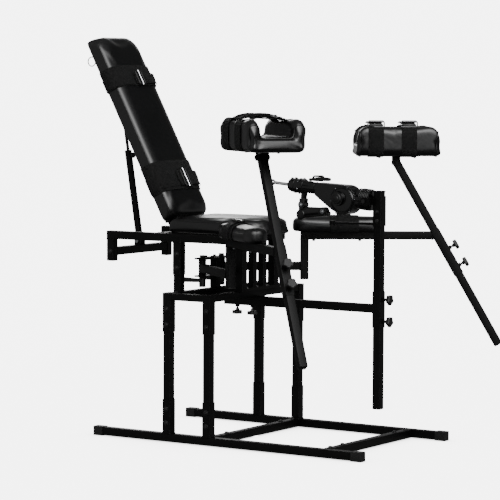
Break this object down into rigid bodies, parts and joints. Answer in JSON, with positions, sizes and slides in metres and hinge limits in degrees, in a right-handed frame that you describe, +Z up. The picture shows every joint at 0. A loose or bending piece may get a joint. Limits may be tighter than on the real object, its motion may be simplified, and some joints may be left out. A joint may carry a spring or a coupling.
{
  "type": "reclining padded chair with leg rests",
  "caption": "Reclining padded chair on a tubular stand, with swing-out leg rests carrying calf cradles and a mast-mounted reciprocating drive.",
  "frame": {"origin": "on the floor, at the middle of the whole chair's bounding box seen from above", "axes": "+X the way the sitter faces, towards the mast; +Y the sitter's left; +Z up"},
  "size_m": [1.3394, 1.3594, 1.4572],
  "materials": {
    "black_powder_coat": "satin black powder coat",
    "black_plastic": "moulded black plastic, fine grain",
    "vinyl_upholstery": "soft black vinyl with a semi-gloss sheen",
    "plywood": "stained dark",
    "gloss_black_casting": "gloss black",
    "polished_steel": "polished",
    "zinc_steel": "zinc plated"
  },
  "bodies": {
    "stand": {"base_rail_right": "black_powder_coat", "foot_cap_right_rear": "black_plastic", "foot_cap_right_front": "black_plastic", "stand_post_right_rear": "black_powder_coat", "stand_post_right_front": "black_powder_coat", "seat_post_right": "black_powder_coat", "base_rail_left": "black_powder_coat", "foot_cap_left_rear": "black_plastic", "foot_cap_left_front": "black_plastic", "stand_post_left_rear": "black_powder_coat", "stand_post_left_front": "black_powder_coat", "seat_post_left": "black_powder_coat", "base_crossbar_mid": "black_powder_coat", "base_crossbar_front": "black_powder_coat", "stand_top_frame": "black_powder_coat", "pivot_bracket": "black_powder_coat", "seat_frame": "black_powder_coat", "front_support": "black_powder_coat", "hinge_pin": "zinc_steel", "strut_pin": "zinc_steel", "seat_board": "plywood", "seat_cushion": "vinyl_upholstery"},
    "back": {"back_frame": "black_powder_coat", "back_board": "plywood", "back_cushion": "vinyl_upholstery", "back_ring": "zinc_steel"},
    "strut_tube": {"strut_tube": "black_powder_coat"},
    "strut_rod": {"strut_rod": "gloss_black_casting"},
    "strut_knob": {"strut_knob": "black_plastic"},
    "beam": {"slide_beam": "black_powder_coat"},
    "mast": {"mast": "black_powder_coat", "mast_bracket": "black_powder_coat"},
    "drive": {"drive_housing": "gloss_black_casting", "housing_cover": "gloss_black_casting", "drive_motor": "gloss_black_casting"},
    "crank": {"crank_disc": "zinc_steel"},
    "thrust_rod": {"thrust_rod": "polished_steel"},
    "connecting_rod": {"connecting_rod": "zinc_steel"},
    "support_link": {"support_link": "gloss_black_casting"},
    "release_lever": {"release_lever": "black_plastic"},
    "beam_knob_rear": {"beam_knob_rear": "black_plastic"},
    "beam_knob_front": {"beam_knob_front": "black_plastic"},
    "mast_knob_upper": {"mast_knob_upper": "black_plastic"},
    "mast_knob_lower": {"mast_knob_lower": "black_plastic"},
    "leg_right": {"leg_frame_right": "black_powder_coat", "thigh_pad_right": "vinyl_upholstery"},
    "calf_post_right": {"calf_post_right": "black_powder_coat"},
    "cradle_right": {"cradle_bracket_right": "black_powder_coat", "calf_cradle_right": "vinyl_upholstery"},
    "clamp_lever_right": {"clamp_lever_right": "black_plastic"},
    "leg_knob_right_upper": {"leg_knob_right_upper": "black_plastic"},
    "leg_knob_right_lower": {"leg_knob_right_lower": "black_plastic"},
    "leg_left": {"leg_frame_left": "black_powder_coat", "thigh_pad_left": "vinyl_upholstery"},
    "calf_post_left": {"calf_post_left": "black_powder_coat"},
    "cradle_left": {"cradle_bracket_left": "black_powder_coat", "calf_cradle_left": "vinyl_upholstery"},
    "clamp_lever_left": {"clamp_lever_left": "black_plastic"},
    "leg_knob_left_upper": {"leg_knob_left_upper": "black_plastic"},
    "leg_knob_left_lower": {"leg_knob_left_lower": "black_plastic"}
  },
  "joints": [
    {"name": "back_recline", "type": "hinge", "parent": "stand", "child": "back", "pos_m": [-0.29918, -0.00013, 0.748], "axis": [0, -1, 0], "range_deg": [0, 61]},
    {"name": "strut_swing", "type": "hinge", "parent": "stand", "child": "strut_tube", "pos_m": [-0.50718, -0.00013, 0.692], "axis": [0, -1, 0], "range_deg": [0, 76]},
    {"name": "strut_slide", "type": "slide", "parent": "strut_tube", "child": "strut_rod", "axis": [-0.1601, 0, 0.9871], "range_m": [-0.19, 0]},
    {"name": "strut_knob_turn", "type": "hinge", "parent": "strut_tube", "child": "strut_knob", "pos_m": [-0.54822, -0.00013, 1.0075], "axis": [0.9871, 0, 0.1601], "range_deg": [0, 360]},
    {"name": "leg_right_swing", "type": "hinge", "parent": "stand", "child": "leg_right", "pos_m": [-0.18218, -0.06213, 0.611], "axis": [0, 0, -1], "range_deg": [-7, 34]},
    {"name": "calf_post_right_slide", "type": "slide", "parent": "leg_right", "child": "calf_post_right", "axis": [-0.3978, 0.2954, 0.8686], "range_m": [-0.17, 0.17]},
    {"name": "cradle_right_tilt", "type": "hinge", "parent": "calf_post_right", "child": "cradle_right", "pos_m": [0.31527, -0.43157, 1.03247], "axis": [0.5962, 0.8028, 0], "range_deg": [-20, 20]},
    {"name": "leg_knob_right_upper_turn", "type": "hinge", "parent": "leg_right", "child": "leg_knob_right_upper", "pos_m": [0.49418, -0.56444, 0.67607], "axis": [0.6974, -0.5179, 0.4955], "range_deg": [0, 360]},
    {"name": "leg_knob_right_lower_turn", "type": "hinge", "parent": "leg_right", "child": "leg_knob_right_lower", "pos_m": [0.52362, -0.5863, 0.61179], "axis": [0.6974, -0.5179, 0.4955], "range_deg": [0, 360]},
    {"name": "clamp_lever_right_turn", "type": "hinge", "parent": "stand", "child": "clamp_lever_right", "pos_m": [-0.18218, -0.06213, 0.562], "axis": [0, 0, 1], "range_deg": [-30, 70]},
    {"name": "leg_left_swing", "type": "hinge", "parent": "stand", "child": "leg_left", "pos_m": [-0.18218, 0.06187, 0.611], "axis": [0, 0, 1], "range_deg": [-7, 34]},
    {"name": "calf_post_left_slide", "type": "slide", "parent": "leg_left", "child": "calf_post_left", "axis": [-0.4024, -0.2891, 0.8686], "range_m": [-0.13, 0.21]},
    {"name": "cradle_left_tilt", "type": "hinge", "parent": "calf_post_left", "child": "cradle_left", "pos_m": [0.33912, 0.43646, 0.99338], "axis": [-0.5835, 0.8121, 0], "range_deg": [-20, 20]},
    {"name": "leg_knob_left_upper_turn", "type": "hinge", "parent": "leg_left", "child": "leg_knob_left_upper", "pos_m": [0.50199, 0.55349, 0.67607], "axis": [0.7054, 0.5069, 0.4955], "range_deg": [0, 360]},
    {"name": "leg_knob_left_lower_turn", "type": "hinge", "parent": "leg_left", "child": "leg_knob_left_lower", "pos_m": [0.53177, 0.57489, 0.61179], "axis": [0.7054, 0.5069, 0.4955], "range_deg": [0, 360]},
    {"name": "clamp_lever_left_turn", "type": "hinge", "parent": "stand", "child": "clamp_lever_left", "pos_m": [-0.18218, 0.06187, 0.562], "axis": [0, 0, -1], "range_deg": [-30, 70]},
    {"name": "beam_slide", "type": "slide", "parent": "stand", "child": "beam", "axis": [1, 0, 0], "range_m": [-0.05, 0.2]},
    {"name": "beam_knob_rear_turn", "type": "hinge", "parent": "stand", "child": "beam_knob_rear", "pos_m": [-0.06918, -0.00013, 0.477], "axis": [0, 0, -1], "range_deg": [0, 360]},
    {"name": "beam_knob_front_turn", "type": "hinge", "parent": "stand", "child": "beam_knob_front", "pos_m": [-0.00418, -0.00013, 0.477], "axis": [0, 0, -1], "range_deg": [0, 360]},
    {"name": "mast_slide", "type": "slide", "parent": "beam", "child": "mast", "axis": [0, 0, 1], "range_m": [-0.04, 0.25]},
    {"name": "mast_knob_upper_turn", "type": "hinge", "parent": "beam", "child": "mast_knob_upper", "pos_m": [0.54182, -0.00013, 0.527], "axis": [1, 0, 0], "range_deg": [0, 360]},
    {"name": "mast_knob_lower_turn", "type": "hinge", "parent": "beam", "child": "mast_knob_lower", "pos_m": [0.54182, -0.00013, 0.45], "axis": [1, 0, 0], "range_deg": [0, 360]},
    {"name": "drive_tilt", "type": "hinge", "parent": "mast", "child": "drive", "pos_m": [0.48482, -0.00013, 0.872], "axis": [0, 1, 0], "range_deg": [-2, 9.5]},
    {"name": "crank_turn", "type": "hinge", "parent": "drive", "child": "crank", "pos_m": [0.39256, -0.00013, 0.87304], "axis": [0, 1, 0], "range_deg": [0, 180]},
    {"name": "thrust_rod_slide", "type": "slide", "parent": "drive", "child": "thrust_rod", "axis": [0.9962, 0, -0.0872], "range_m": [0, 0.04]},
    {"name": "connecting_rod_swing", "type": "hinge", "parent": "thrust_rod", "child": "connecting_rod", "pos_m": [0.32066, -0.00013, 0.90483], "axis": [0, 1, 0], "range_deg": [-18, 18]},
    {"name": "support_link_tilt", "type": "hinge", "parent": "drive", "child": "support_link", "pos_m": [0.21085, -0.00013, 0.84979], "axis": [0, 1, 0], "range_deg": [0, 25]},
    {"name": "release_lever_lift", "type": "hinge", "parent": "drive", "child": "release_lever", "pos_m": [0.24186, -0.00013, 0.94044], "axis": [0, -1, 0], "range_deg": [0, 35]}
  ],
  "couplings": [
    {"joint": "strut_swing", "follows": "back_recline", "ratio": 1.2306},
    {"joint": "strut_slide", "follows": "back_recline", "m_per_rad": -0.17511},
    {"joint": "thrust_rod_slide", "follows": "crank_turn", "m_per_rad": 0.012731}
  ]
}
